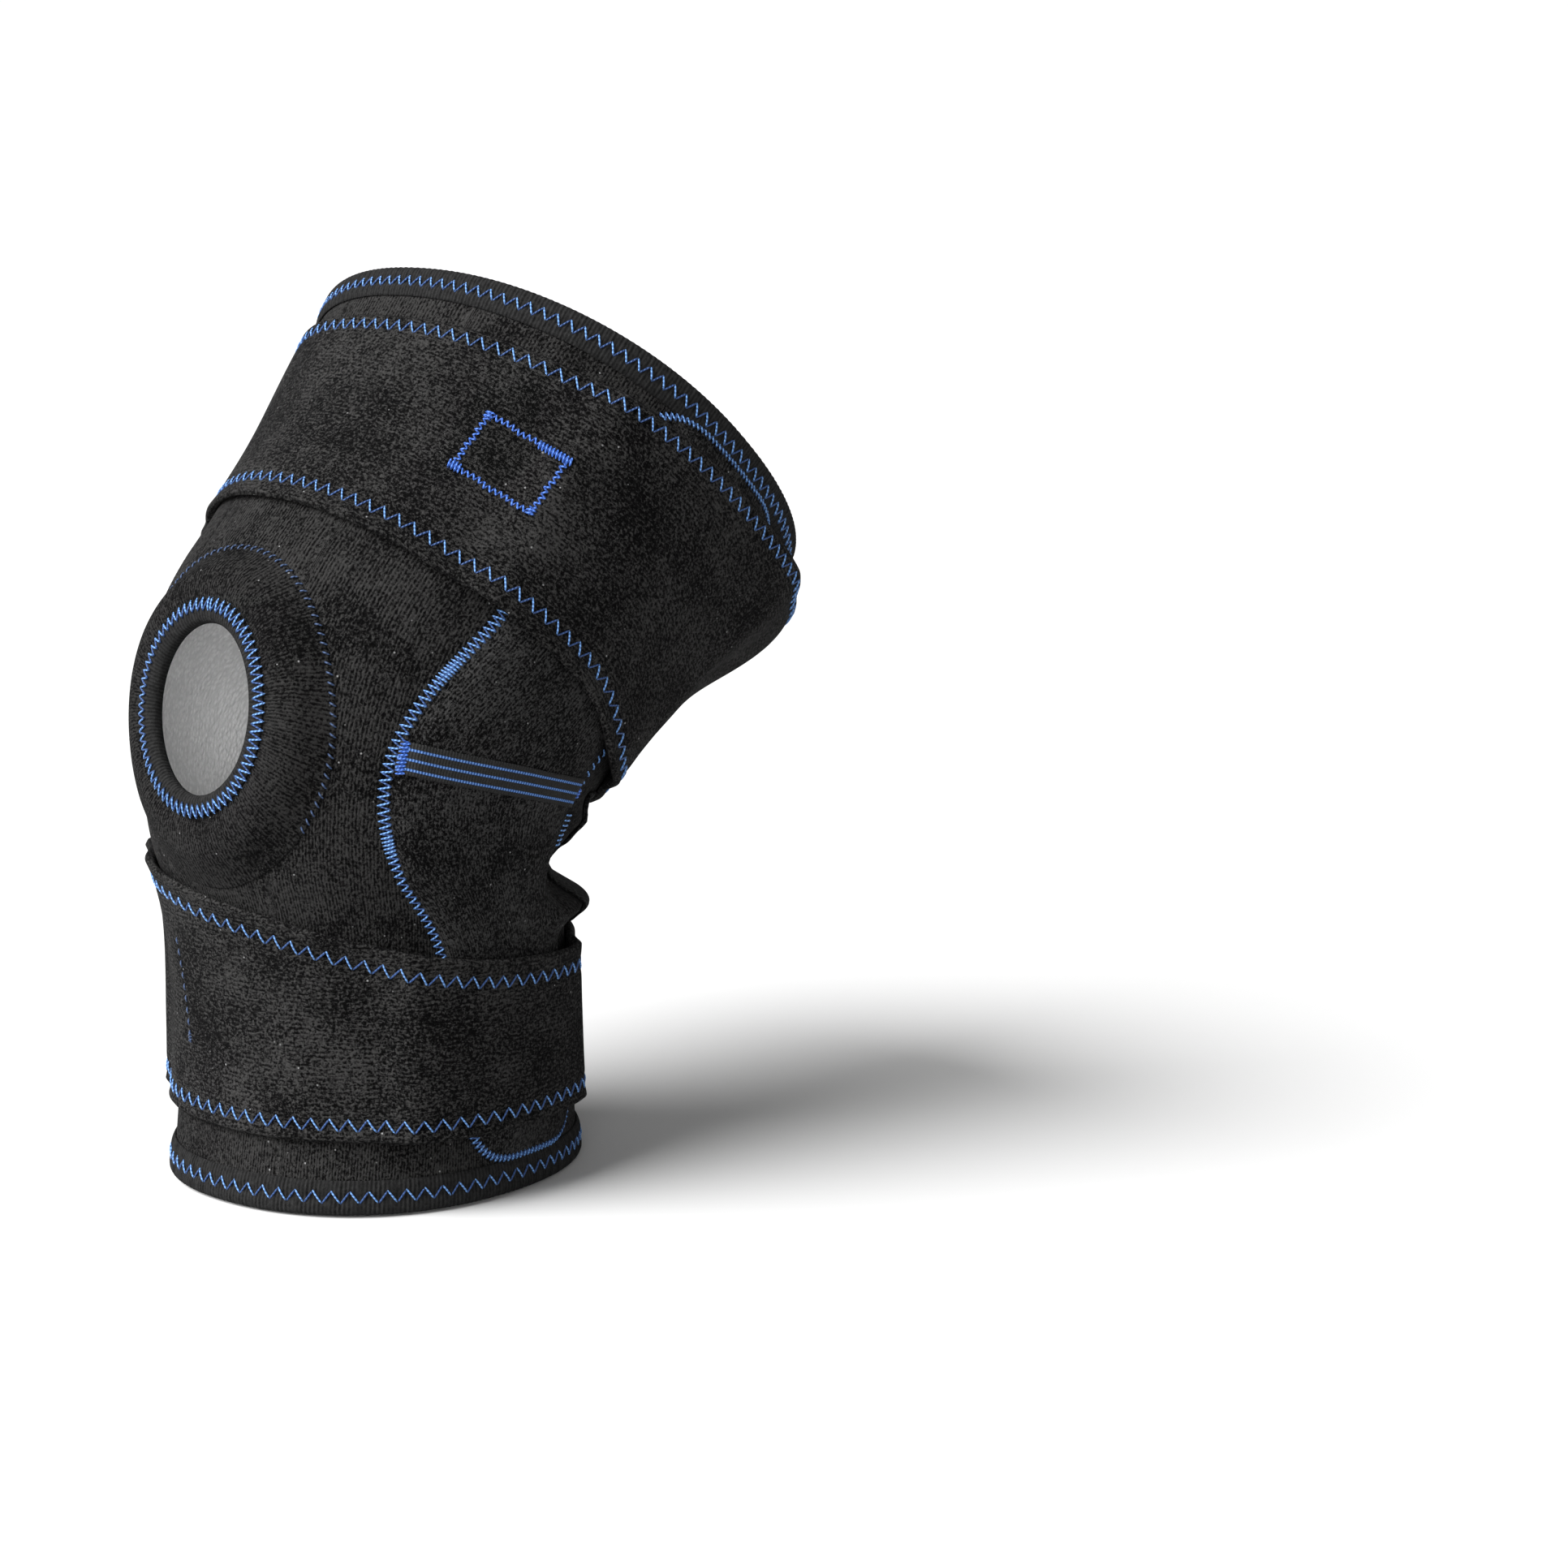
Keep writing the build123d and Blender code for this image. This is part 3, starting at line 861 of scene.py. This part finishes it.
def kneecap_threads():
    turns = np.linspace(0, 360, 241)
    run, angle = ellipse_ring((HOLE + 4.2)[None], turns)
    line = zigzag(run[0], angle[0], level(3.3), 4.0, 2.45, arch=0.4, sink=(0.1, 0.1), closed=True)
    keep_piece(thread_piece("kneecap_hole_stitch", [line], BLUE), blended=True)
    turns = np.linspace(-125, 125, 200)
    run, angle = ellipse_ring((PAD - 0.6)[None], turns)
    faint = dashes(run[0], angle[0], level(0.6), 2.9, 1.4, 2.0, arch=0.25, sink=-0.35)
    keep_piece(thread_piece("kneecap_pad_stitch", faint, DARKER_BLUE, 0.26), blended=True)


# ---- side panels ----
def panel_outline(u):
    """Lowest and highest run of the panel at a share of its width: rounded at all four corners."""
    low, high = PANEL_ENDS
    corner = 0.30
    near = np.clip(np.minimum(u, 1 - u) / corner, 0, 1)
    rise = 1 - np.sqrt(1 - (1 - near) ** 2)
    return low + 13 * rise, high + 2.5 - 13 * rise


def panel_place(side, u, v):
    low, high = panel_outline(u)
    run = low + (high - low) * v
    front, back = curve(run, PANEL_FRONT), curve(run, PANEL_BACK)
    return run, side * (front + (back - front) * u)


def eased(count):
    """Shares from 0 to 1, closer together at both ends."""
    t = np.linspace(0, 1, count)
    return t + 0.11 * np.sin(-2 * pi * t) / (2 * pi) * 1.6


def side_panel(name, side):
    u, v = np.meshgrid(eased(44), eased(150))
    run, angle = panel_place(side, u, v)
    margin = edge_distance(run, angle)
    lift = GAP + (PANEL_OFF - GAP) * step(margin / 9)
    for share in STAY_SHARES:
        lift = lift + 0.5 * hill(u, share, 0.10) * step(margin / 12)
    lift = lift + crease(run, angle)
    piece = shell(f"side_cloth_{name}", run, angle, lift, lift + PANEL_THICK, PANEL, edge=0.9)
    keep_piece(piece, over=(f"side_panel_{name}",), blended=True)
    declare_cloth(run, angle)


def panel_pitch(run):
    """Stitch length along the panel's seam, tight where the seam was gone over twice."""
    tight = hill(run, 138, 4) + hill(run, 105, 3)
    return 2.3 - 1.3 * np.clip(tight, 0, 1)


def panel_width(run):
    return 2.4 + 1.0 * step((run - 92) / 16)


def on_sleeve(off):
    """A standoff that follows the folds behind the knee."""
    return lambda run, angle: off + crease(run, angle)


def panel_threads(name, side):
    v = np.linspace(0, 1, 200)
    run, angle = panel_place(side, 0 * v, v)
    high_side = (1.5, 0.15) if side > 0 else (0.15, 1.5)
    lines = [zigzag(run, angle, on_sleeve(0.3), panel_width, panel_pitch, arch=0.45, sink=high_side)]
    for low, high, pitch, slant in ((104, 117, 1.7, 0.3), (128, 150, 2.8, 0.6)):
        run = np.linspace(low, high, 40)
        angle = side * (curve(run, PANEL_BACK) - 0.6)
        lines += dashes(run, angle, on_sleeve(1.4), pitch, slant, 3.6, arch=0.5)
    for end in (0.0, 1.0):
        u = np.linspace(0, 1, 80)
        run, angle = panel_place(side, u, end + 0 * u)
        sink = (0.15, 1.5) if (end == 0) == (side > 0) else (1.5, 0.15)
        lines.append(zigzag(run, angle, on_sleeve(0.3), 2.4, 1.7, arch=0.3, sink=sink))
    keep_piece(thread_piece(f"side_cloth_stitch_{name}", lines, BLUE), blended=True)


def stay_coil(side, share):
    """A flat spring stay: a wire coil pressed flat, running up inside the panel."""
    run_count = int((STAY_ENDS[1] - STAY_ENDS[0]) / STAY_COIL_PITCH * 10)
    run = np.linspace(*STAY_ENDS, run_count)
    front, back = curve(run, PANEL_FRONT), curve(run, PANEL_BACK)
    phase = 2 * pi * (run - STAY_ENDS[0]) / STAY_COIL_PITCH
    half = np.degrees(STAY_COIL_HALF_WIDTH / curve(run, LIMB))
    angle = side * (front + (back - front) * share + half * np.sin(phase))
    off = GAP + 0.6 + 0.3 * np.cos(phase)
    p = skin(run, angle, off)
    _, normal = lay(run, angle, level(0.9))
    return p, normal, np.zeros(run_count)


def stays():
    for name, side in (("lateral", 1), ("medial", -1)):
        for place, share in zip(("front", "back"), STAY_SHARES):
            piece = thread_piece(f"spring_stay_{name}_{place}", [stay_coil(side, share)], STEEL)
            keep_piece(piece, over=(f"stay_{name}_{place}",), blended=True)
    for node in ("stay_tips_calf", "stay_tips_thigh"):
        materials = frame["nodes"][node].data.materials
        materials.clear()
        materials.append(PLASTIC)


def keeper_middle(angle):
    u = (np.abs(angle) - KEEPER_ANGLES[0]) / (KEEPER_ANGLES[1] - KEEPER_ANGLES[0])
    return 120.7 + 5.5 * u * u


def keeper(name, side):
    """The striped webbing across the panel, sewn down at both ends."""
    angles = side * np.linspace(KEEPER_ANGLES[0] - 1.5, KEEPER_ANGLES[1] + 1, 70)
    across = KEEPER_HALF_HEIGHT * np.sin(np.radians(np.linspace(-90, 90, 19)))
    angle, place = np.meshgrid(angles, across)
    middle = keeper_middle(angle)
    spread = 1 + np.cos(np.radians(angle)) * curve(middle, LIMB, 2) / BEND_RADIUS
    run = middle + place / spread
    front, back = (np.abs(angle) - end for end in KEEPER_ANGLES)
    ends = step((front + 2) / 6) * (1 - step((back + 4) / 6))
    lift = GAP + 1.4 + (KEEPER_OFF - GAP - 1.4) * ends + crease(run, angle)
    piece = shell(f"keeper_webbing_{name}", run, angle, lift, lift + 0.8, WEBBING, edge=0.4)
    keep_piece(piece, over=(f"keeper_band_{name}",), blended=True)
    tacks = []
    for end, reach, width in zip(KEEPER_ANGLES, (2.9, 2.0), (3.0, 1.6)):
        run = keeper_middle(end) + np.linspace(-reach, reach, 12)
        tacks.append(zigzag(run, side * (end + 0 * run), on_sleeve(2.9), width, 1.05, arch=0.35))
    keep_piece(thread_piece(f"keeper_tack_{name}", tacks, DENSE_BLUE), blended=True)


# ---- crease panel behind the knee ----
def crease_panel():
    u, v = np.meshgrid(eased(90), eased(70))
    angle = CREASE_ANGLES[0] + (CREASE_ANGLES[1] - CREASE_ANGLES[0]) * u
    low, high = calf_strap_top(angle) + CREASE_MARGIN, thigh_strap_low(angle) - CREASE_MARGIN
    run = low + (high - low) * v
    margin = edge_distance(run, angle)
    ripple = 0.15 * np.sin(run * 2 * pi / 5.2) * step(margin / 6)
    inner = GAP + crease(run, angle) + 0 * run
    outer = inner + CREASE_THICK + ripple
    piece = shell("crease_panel", run, angle, inner, outer, CREASE, edge=0.7)
    keep_piece(piece, over=("popliteal_panel",), blended=True)
    declare_cloth(run, angle)


# ---- straps ----
def strap_relief(up, height, lips):
    """How the strap's face sinks at its two stitch lines and curls at its edges."""
    low, high = lips
    groove = -0.55 * (hill(up, low, 2.0) + hill(up, height - high, 2.0))
    curl = 0.5 * (np.exp(-up / 2.0) + np.exp(-(height - up) / 2.0))
    return groove + curl


def ripple(run, angle):
    """Slight unevenness of soft cloth, a few tenths of a millimetre."""
    a = np.radians(angle)
    slow = 0.22 * np.sin(5 * a + run / 23) + 0.16 * np.sin(9 * a - run / 15 + 1.3)
    return slow + 0.12 * np.sin(run / 9 + 3 * a)


def strap(name, low, high, inner, lips, pitch):
    rows = eased(48)
    angles = STRAP_START + STRAP_TURN * eased(300)
    angle, v = np.meshgrid(angles, rows)
    run = low(angle) + (high(angle) - low(angle)) * v
    base = inner(run, angle)
    up = (run - low(angle))
    height = high(angle) - low(angle)
    relief = strap_relief(up, height, lips) + ripple(run, angle)
    outer = base + STRAP_THICK + relief
    piece = shell(f"{name}_cloth", run, angle, base + np.maximum(relief, 0) * 0.6, outer, LOOP, edge=1.3)
    keep_piece(piece, over=(name,), blended=True)
    declare_cloth(run, angle)

    def top(run, angle):
        relief = strap_relief(run - low(angle), high(angle) - low(angle), lips)
        return inner(run, angle) + STRAP_THICK + relief + ripple(run, angle)

    turns = np.linspace(STRAP_START + 2, STRAP_START + STRAP_TURN - 2, 340)
    low_line = zigzag(low(turns) + lips[0], turns, top, STRAP_STITCH_WIDTH, pitch)
    high_line = zigzag(high(turns) - lips[1], turns, top, STRAP_STITCH_WIDTH, pitch)
    stitches = thread_piece(f"{name}_stitch", [low_line, high_line], BLUE)
    keep_piece(stitches, blended=True)
    return top


def box_stitch(top):
    """The stitched box that holds the closing tab's root, seen on the strap's face."""
    corners = np.array(((205.0, 36.7), (202.9, 57.2), (184.3, 56.8), (186.7, 35.8)))
    lines = []
    for a, b in zip(corners, np.roll(corners, -1, 0)):
        t = np.linspace(0, 1, 30)[:, None]
        wander = np.array((0.35, 0.3)) * np.sin(t * 17 + a[0]) * np.sin(pi * t)
        side = a + (b - a) * t + wander
        lines.append(zigzag(side[:, 0], side[:, 1], top, 1.8, 1.9, arch=0.25, sink=(-0.25, -0.1)))
    for corner, reach, width in ((0, 1.6, 2.8), (1, 7.0, 2.5), (2, 1.5, 2.6), (3, 2.0, 3.0)):
        start = corners[corner]
        toward = corners[corner - 1] - start
        t = np.linspace(-0.05, reach / 20, 12)[:, None]
        side = start + toward * t
        lines.append(zigzag(side[:, 0], side[:, 1], top, width, 1.15, arch=0.5, sink=(0.1, 0.1)))
    keep_piece(thread_piece("strap_box_stitch", lines, DENSE_BLUE, 0.3), blended=True)


def calf_seam_stitch(top):
    t = np.linspace(0, 1, 20)
    run, angle = 73 - 27 * t, -20.5 + 4.5 * t
    lines = dashes(run, angle, top, 3.4, 2.4, 0.0, arch=0.2, sink=-0.35)
    lines.append(zigzag(46 - 2.5 * t, -16.0 + 0.3 * t, top, 1.4, 0.9, arch=0.3, sink=(0.0, 0.0)))
    keep_piece(thread_piece("calf_strap_tack", lines, DARKER_BLUE), blended=True)


# ---- closing tabs ----
def tab_inner(angle):
    return GAP + STRAP_LIFT * over_panels(angle) + TAB_CLIMB * ramp(np.abs(angle), *TAB_RAMP)


def tab(name, low, high):
    """The closing tab that wraps on over the strap, its free end rounded."""
    u, v = np.meshgrid(eased(80), eased(26))
    start, end = TAB_ANGLES
    near = np.clip((1 - u) / 0.16, 0, 1)
    rise = 9 * (1 - np.sqrt(1 - (1 - near) ** 2))
    run = low + rise + (high - low - 2 * rise) * v
    angle = start + (end - start) * u
    inner = tab_inner(angle)
    margin = edge_distance(run, angle)
    outer = inner + TAB_THICK - 0.4 * hill(margin, 3.5, 1.2)
    piece = shell(f"{name}_closing_tab", run, angle, inner, outer, LOOP, edge=1.1)
    declare_cloth(run, angle)
    return piece


def hook_pad(name, low, high):
    """Hook tape: a thin backing with rows of small moulded hooks on its inner side."""
    u, v = np.meshgrid(eased(24), eased(18))
    start, end = HOOK_ANGLES
    angle = start + (end - start) * u
    run = low + HOOK_MARGIN + (high - low - 2 * HOOK_MARGIN) * v
    inner = GAP + STRAP_LIFT * over_panels(angle) + HOOK_CLIMB + HOOK_BACKING
    return shell(f"{name}_hook_tape", run, angle, inner, inner + HOOK_THICK - HOOK_BACKING, HOOKS, edge=0.3)


def hook_rows(name, low, high):
    angles = np.arange(HOOK_ANGLES[0] - 1, HOOK_ANGLES[1] + 0.5, -HOOK_SPACING[0])
    runs = np.arange(low + HOOK_MARGIN + 1, high - HOOK_MARGIN - 1, HOOK_SPACING[1])
    angle, run = (g.ravel() for g in np.meshgrid(angles, runs))
    share = np.array((0.0, 0.35, 0.6, 0.75, 0.7))
    lines = []
    for a, r in zip(angle, run):
        root = GAP + STRAP_LIFT * over_panels(a) + HOOK_CLIMB + 0.4
        off = root - 0.38 * np.array((0, 0.6, 0.95, 1.0, 0.7))
        p = skin(r + share * 0.7, a + 0 * share, off)
        lines.append((p, np.repeat([(0.0, 0.0, 1.0)], 5, 0), np.zeros(5)))
    return thread_piece(f"{name}_hooks", lines, HOOKS, 0.12)


def closing_tab(name, low, high):
    body = f"{name}_tab"
    start, end = (skin((low + high) / 2, a, 5) * MM for a in TAB_BEND)
    made = tab(name, low, high)
    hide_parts(f"{name}_strap_tab")
    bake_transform(made)
    pad = hook_pad(name, low, high)
    keep_piece(pad, body=body, over=(f"{name}_hook_pad",))
    keep_piece(hook_rows(name, low, high), body=body)


# ---- the brace ----
sleeve()
hem("calf_edge_tape", "calf_rim_binding", 0.0, 1)
hem("thigh_edge_tape", "thigh_rim_binding", LENGTH, -1)
rim_threads()
kneecap_pad()
kneecap_lip()
kneecap_threads()
for side_name, side_sign in (("lateral", 1), ("medial", -1)):
    side_panel(side_name, side_sign)
    panel_threads(side_name, side_sign)
    keeper(side_name, side_sign)
stays()
crease_panel()
calf_face = strap("calf_strap", calf_strap_low, calf_strap_top, calf_strap_inner, (5.0, 6.8), 5.5)
thigh_face = strap("thigh_strap", thigh_strap_low, thigh_strap_top, thigh_strap_inner, (6.6, 3.6), 5.0)
box_stitch(thigh_face)
calf_seam_stitch(calf_face)
for tab_name, (tab_low, tab_high) in TABS.items():
    closing_tab(tab_name, tab_low, tab_high)


# ---- studio ----
def floor():
    bpy.ops.mesh.primitive_plane_add(size=60, location=(0, 0, -0.0005))
    ground = bpy.context.object
    ground.name = "floor"
    paint = Paint("pale floor", 0.9)
    shade = paint.noise(paint.place(), 3, 2)
    paint.colour(paint.mix(shade, grey(0.43), grey(0.47)))
    ground.data.materials.append(paint.material)


def soft_sun(name, azimuth, elevation, spread, power):
    """A broad far light that reaches the brace and the whole floor from one side alike."""
    a, e = radians(azimuth), radians(elevation)
    back = np.array((sin(a) * cos(e), -cos(a) * cos(e), sin(e)))
    light = bpy.data.lights.new(name, "SUN")
    light.angle = radians(spread)
    light.energy = power
    lamp = bpy.data.objects.new(name, light)
    lamp.rotation_mode = "QUATERNION"
    lamp.rotation_quaternion = Vector(-back).to_track_quat("-Z", "Y")
    bpy.context.scene.collection.objects.link(lamp)


def world(horizon, above):
    """A white studio: bright low down all round, dimmer overhead."""
    made = bpy.data.worlds.new("studio")
    made.use_nodes = True
    tree = made.node_tree
    direction = tree.nodes.new("ShaderNodeTexCoord").outputs["Generated"]
    split = tree.nodes.new("ShaderNodeSeparateXYZ")
    fade = tree.nodes.new("ShaderNodeMapRange")
    for key, value in zip(("From Min", "From Max", "To Min", "To Max"), (0.2, 0.5, horizon, above)):
        fade.inputs[key].default_value = value
    tree.links.new(direction, split.inputs[0])
    tree.links.new(split.outputs["Z"], fade.inputs["Value"])
    tree.links.new(fade.outputs[0], tree.nodes["Background"].inputs["Strength"])
    tree.nodes["Background"].inputs["Color"].default_value = (1, 1, 1, 1)
    bpy.context.scene.world = made


def camera():
    """Looks from the outer front, a little above, framed with the brace left of the middle."""
    azimuth, elevation, distance = 42.0, 10.2, 1.15
    a, e = radians(azimuth), radians(elevation)
    back = np.array((sin(a) * cos(e), -cos(a) * cos(e), sin(e)))
    right = np.array((cos(a), sin(a), 0))
    up = np.cross(back, right)
    target = np.array((0, 0.040, 0.140))
    made = bpy.data.cameras.new("camera")
    made.sensor_width = 36
    made.lens = 87.46
    eye = bpy.data.objects.new("camera", made)
    eye.location = target + back * distance + right * 0.0984 - up * 0.0297
    eye.rotation_mode = "QUATERNION"
    eye.rotation_quaternion = Vector(-back).to_track_quat("-Z", "Y")
    bpy.context.scene.collection.objects.link(eye)
    bpy.context.scene.camera = eye


floor()
soft_sun("key", -20, 42, 50, 10.0)
soft_sun("fill", 42, 12, 25, 1.2)
world(1.02, 0.25)
camera()
bpy.context.scene.view_settings.view_transform = "Standard"
